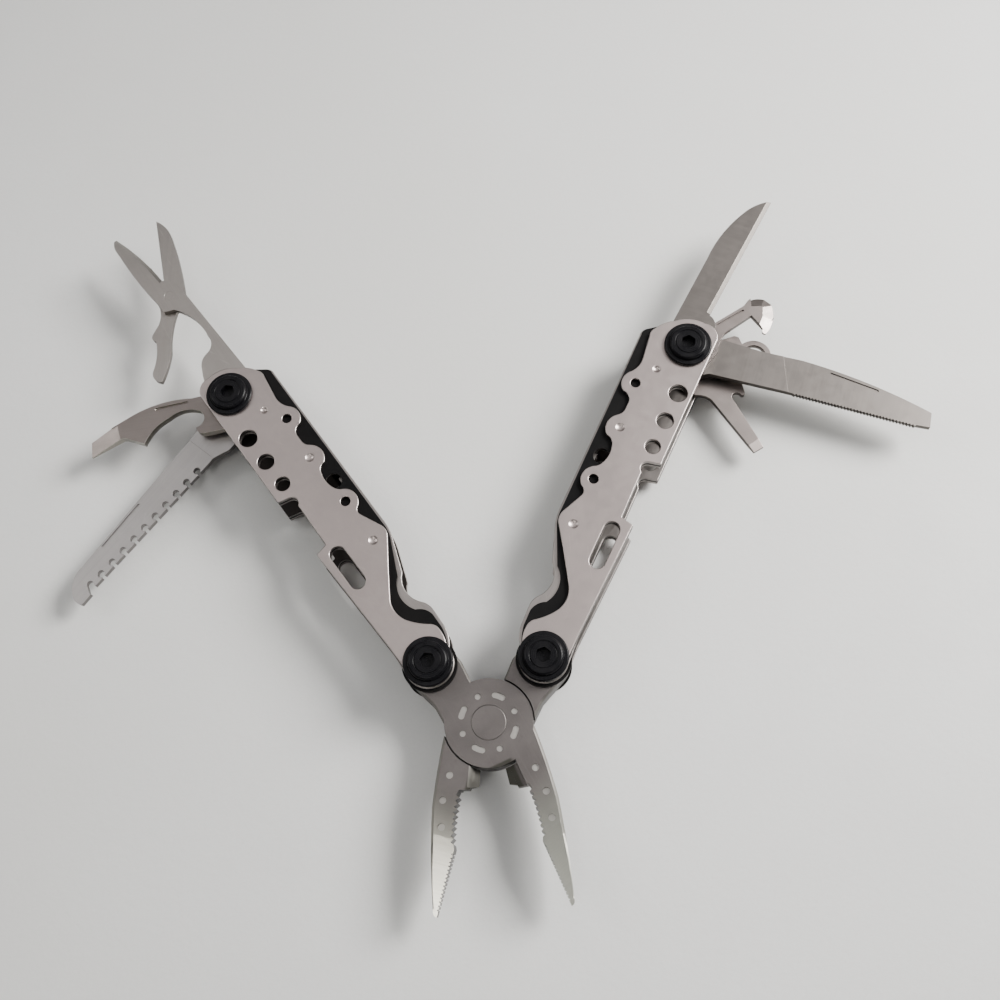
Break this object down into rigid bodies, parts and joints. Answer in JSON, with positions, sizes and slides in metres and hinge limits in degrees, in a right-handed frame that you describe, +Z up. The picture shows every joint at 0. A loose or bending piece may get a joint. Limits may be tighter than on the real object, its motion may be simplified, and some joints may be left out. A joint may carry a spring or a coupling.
{
  "type": "folding multi tool",
  "caption": "Folding multi tool, opened out: pliers with two hinged handles that hold fold-out blades, scissors, saw, file and drivers.",
  "frame": {"origin": "centre of the bounding box in plan, on the surface that the opened tool lies on", "axes": "+X to the side with the knife and the file, +Y from the jaws towards the ends of the handles, +Z up out of the surface"},
  "size_m": [0.2026, 0.1748, 0.0162],
  "materials": {
    "satin_steel": "satin, bead blasted",
    "frame_steel": "fine brushed",
    "black_liner": "matt black oxide",
    "black_oxide": "semi-gloss black oxide",
    "jaw_steel": "satin cast steel",
    "blade_steel": "brushed, with polished bevels",
    "spring_steel": "brushed"
  },
  "bodies": {
    "pliers_jaw_a": {"jaw_a": "jaw_steel", "pivot_rivet": "jaw_steel"},
    "pliers_jaw_b": {"jaw_b": "jaw_steel"},
    "handle_left": {"scale_top_left": "satin_steel", "scale_bottom_left": "satin_steel", "liner_top_left": "black_liner", "liner_bottom_left": "black_liner", "frame_top_left": "frame_steel", "frame_bottom_left": "frame_steel", "pliers_bolt_left": "black_oxide", "pliers_nut_left": "black_oxide", "tool_bolt_left": "black_oxide", "tool_nut_left": "black_oxide", "thrust_washers_left": "black_oxide", "spacer_posts_left": "spring_steel", "back_spring_left": "spring_steel", "tool_washers_left": "spring_steel"},
    "handle_right": {"scale_top_right": "satin_steel", "scale_bottom_right": "satin_steel", "liner_top_right": "black_liner", "liner_bottom_right": "black_liner", "frame_top_right": "frame_steel", "frame_bottom_right": "frame_steel", "pliers_bolt_right": "black_oxide", "pliers_nut_right": "black_oxide", "tool_bolt_right": "black_oxide", "tool_nut_right": "black_oxide", "thrust_washers_right": "black_oxide", "spacer_posts_right": "spring_steel", "back_spring_right": "spring_steel"},
    "scissors": {"scissors_arm": "blade_steel", "scissors_rivet": "blade_steel"},
    "scissors_lever": {"scissors_lever": "blade_steel"},
    "cap_lifter": {"cap_lifter": "blade_steel"},
    "wood_saw": {"wood_saw": "blade_steel"},
    "knife": {"knife": "blade_steel"},
    "can_opener": {"can_opener": "blade_steel"},
    "file": {"file": "blade_steel"},
    "lanyard_loop": {"lanyard_loop": "blade_steel"},
    "screwdriver": {"screwdriver": "blade_steel"}
  },
  "joints": [
    {"name": "pliers_pivot", "type": "hinge", "parent": "pliers_jaw_a", "child": "pliers_jaw_b", "pos_m": [-0.00622, -0.04934, 0.0081], "axis": [0, 0, 1], "range_deg": [-6, 39.2]},
    {"name": "handle_left_fold", "type": "hinge", "parent": "pliers_jaw_a", "child": "handle_left", "pos_m": [-0.01798, -0.03578, 0.0081], "axis": [0, 0, 1], "range_deg": [0, 165.3]},
    {"name": "handle_right_fold", "type": "hinge", "parent": "pliers_jaw_b", "child": "handle_right", "pos_m": [0.00678, -0.03696, 0.0081], "axis": [0, 0, -1], "range_deg": [0, 168.2]},
    {"name": "scissors_fold", "type": "hinge", "parent": "handle_left", "child": "scissors", "pos_m": [-0.06137, 0.03318, 0.0081], "axis": [0, 0, 1], "range_deg": [0, 187.8]},
    {"name": "cap_lifter_fold", "type": "hinge", "parent": "handle_left", "child": "cap_lifter", "pos_m": [-0.06137, 0.03318, 0.0081], "axis": [0, 0, 1], "range_deg": [-70, 120]},
    {"name": "wood_saw_fold", "type": "hinge", "parent": "handle_left", "child": "wood_saw", "pos_m": [-0.06137, 0.03318, 0.0081], "axis": [0, 0, 1], "range_deg": [-108, 80.5]},
    {"name": "knife_fold", "type": "hinge", "parent": "handle_right", "child": "knife", "pos_m": [0.0475, 0.03361, 0.0081], "axis": [0, 0, -1], "range_deg": [-4.4, 183.6]},
    {"name": "can_opener_fold", "type": "hinge", "parent": "handle_right", "child": "can_opener", "pos_m": [0.0475, 0.03361, 0.0081], "axis": [0, 0, -1], "range_deg": [-30.5, 154.5]},
    {"name": "file_fold", "type": "hinge", "parent": "handle_right", "child": "file", "pos_m": [0.0475, 0.03361, 0.0081], "axis": [0, 0, -1], "range_deg": [-83.3, 105.2]},
    {"name": "lanyard_loop_fold", "type": "hinge", "parent": "handle_right", "child": "lanyard_loop", "pos_m": [0.0475, 0.03361, 0.0081], "axis": [0, 0, -1], "range_deg": [-63.1, 116.9]},
    {"name": "screwdriver_fold", "type": "hinge", "parent": "handle_right", "child": "screwdriver", "pos_m": [0.0475, 0.03361, 0.0081], "axis": [0, 0, -1], "range_deg": [-120.4, 69.6]},
    {"name": "scissors_squeeze", "type": "hinge", "parent": "scissors", "child": "scissors_lever", "pos_m": [-0.07756, 0.06388, 0.01055], "axis": [0, 0, 1], "range_deg": [0, 35]}
  ]
}
